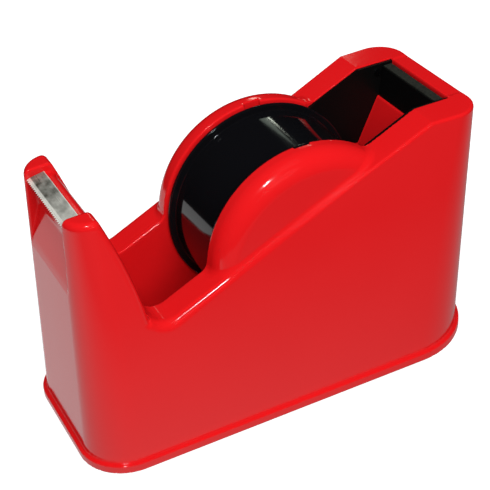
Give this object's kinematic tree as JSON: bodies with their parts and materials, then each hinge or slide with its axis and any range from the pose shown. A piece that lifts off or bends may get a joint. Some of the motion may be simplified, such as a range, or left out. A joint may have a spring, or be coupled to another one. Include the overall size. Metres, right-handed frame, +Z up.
{
  "type": "tape dispenser",
  "caption": "Weighted desk tape dispenser with a sloping open body, lift-out spinning reel, toothed steel cutter and rear pocket.",
  "frame": {"origin": "middle of the footprint, on the surface that the dispenser stands on", "axes": "+Z up, +X towards the tall rear end, cutter at -X, +Y across the width"},
  "size_m": [0.1756, 0.0772, 0.1074],
  "materials": {
    "red_shell": "glossy moulded red",
    "gloss_black": "polished black",
    "black_liner": "satin black",
    "ledge_rubber": "matte dark grey",
    "blade_steel": "brushed, mottled",
    "axle_steel": "turned",
    "zinc_screw": "bright zinc plate",
    "cast_ballast": "as cast",
    "grey_foam": "open foam",
    "black_plate": "fine moulded texture",
    "pad_rubber": "matte",
    "white_nylon": "satin nylon",
    "washer_felt": "pressed felt",
    "bush_brass": "turned"
  },
  "bodies": {
    "housing": {"body_shell": "red_shell", "base_plate": "black_plate", "non_slip_pad": "pad_rubber", "base_screws": "zinc_screw", "ballast_screws": "zinc_screw", "ballast_slab": "cast_ballast", "front_ballast": "cast_ballast", "rear_ballast": "cast_ballast", "foam_blocks": "grey_foam", "cutter_blade": "blade_steel", "blade_push_nuts": "blade_steel", "pocket_liner": "black_liner", "ledge_strip": "ledge_rubber", "liner_screws": "zinc_screw", "saddle_left": "white_nylon", "saddle_right": "white_nylon"},
    "axle": {"axle_shaft": "axle_steel", "axle_collar_left": "white_nylon", "axle_collar_right": "white_nylon", "axle_clips": "blade_steel", "felt_washer_left": "washer_felt", "felt_washer_right": "washer_felt"},
    "reel": {"reel_drum": "gloss_black", "reel_side_flange": "gloss_black", "hub_bush_left": "bush_brass", "hub_bush_right": "bush_brass"}
  },
  "joints": [
    {"name": "reel_lift", "type": "slide", "parent": "housing", "child": "axle", "axis": [0, 0, 1], "range_m": [0, 0.095]},
    {"name": "reel_spin", "type": "hinge", "parent": "axle", "child": "reel", "pos_m": [0.01397, 0, 0.0648], "axis": [0, 1, 0], "continuous": true}
  ]
}
